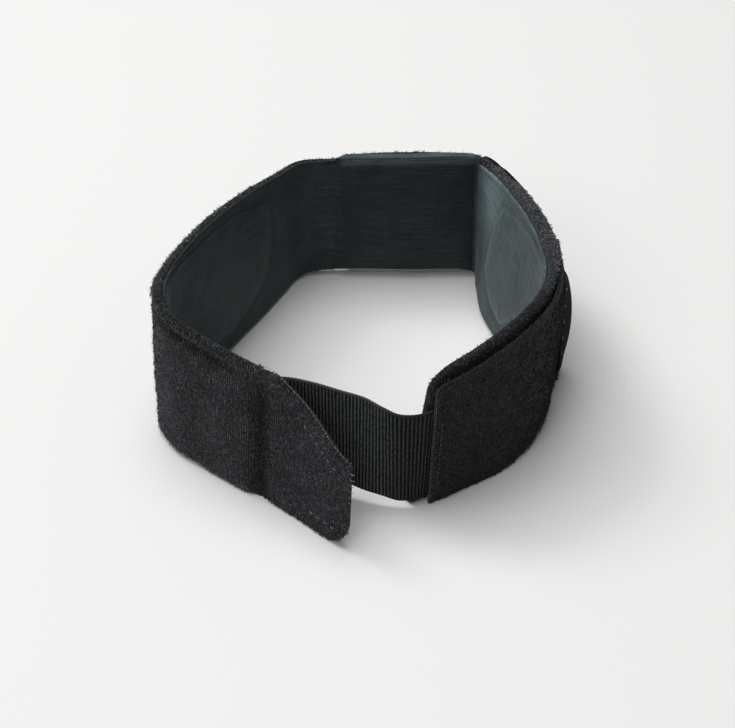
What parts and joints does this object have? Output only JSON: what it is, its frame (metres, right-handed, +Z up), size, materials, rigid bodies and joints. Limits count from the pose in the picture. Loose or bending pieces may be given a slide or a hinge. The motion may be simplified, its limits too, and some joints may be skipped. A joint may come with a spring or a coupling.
{
  "type": "wrist support band",
  "caption": "Padded fleece wrist band standing as an open ring, with a slanted closure tab, a ribbed elastic link and shaped inner pads.",
  "frame": {"origin": "middle of the outline on the surface the band rests on", "axes": "+Z up through the wrist opening; +Y towards the flat back panel; +X towards the side with the end patch"},
  "size_m": [0.1312, 0.1444, 0.057],
  "materials": {
    "pile": "charcoal brushed loop pile",
    "lining": "smooth dark grey-green tricot",
    "webbing": "black ribbed elastic webbing",
    "binding": "plain black woven strip",
    "hook": "black hook tape"
  },
  "bodies": {
    "root": {"shell": "pile", "lining": "lining", "pad_left": "lining", "pad_back": "lining", "pad_right": "lining", "front_elastic": "webbing", "end_patch": "pile", "patch_binding": "binding", "outer_strap": "webbing", "closure_tab": "pile", "tab_hook": "hook"}
  },
  "joints": []
}
